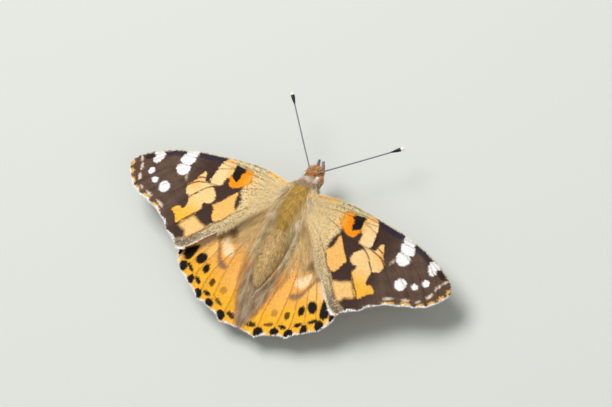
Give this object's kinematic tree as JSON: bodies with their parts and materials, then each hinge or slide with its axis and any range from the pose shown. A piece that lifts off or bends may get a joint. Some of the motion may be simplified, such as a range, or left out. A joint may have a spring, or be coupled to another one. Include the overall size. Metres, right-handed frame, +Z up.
{
  "type": "painted lady butterfly",
  "caption": "Life-size butterfly standing with its wings spread flat: furry body, clubbed feelers, orange wings with dark tips, white spots and raised veins.",
  "frame": {"origin": "on the floor, below the centre of the whole butterfly's box", "axes": "+Z up, the head points along -Y, the animal's left is +X"},
  "size_m": [0.0652, 0.0402, 0.0094],
  "materials": {
    "head_fur": "matte",
    "tongue_brown": "satin",
    "gold_fur": "matte",
    "tan_fur": "matte",
    "eye_brown": "gloss",
    "palp_fur": "matte",
    "feeler_black": "matte",
    "forewing_scales": "matte",
    "hindwing_scales": "matte",
    "leg_buff": "matte"
  },
  "bodies": {
    "root": {"head": "head_fur", "proboscis": "tongue_brown", "thorax": "gold_fur", "abdomen": "tan_fur", "eye_left": "eye_brown", "palp_left": "palp_fur", "antenna_left": "feeler_black", "forewing_left": "forewing_scales", "hindwing_left": "hindwing_scales", "foreleg_left": "leg_buff", "midleg_left": "leg_buff", "hindleg_left": "leg_buff", "eye_right": "eye_brown", "palp_right": "palp_fur", "antenna_right": "feeler_black", "forewing_right": "forewing_scales", "hindwing_right": "hindwing_scales", "foreleg_right": "leg_buff", "midleg_right": "leg_buff", "hindleg_right": "leg_buff"}
  },
  "joints": []
}
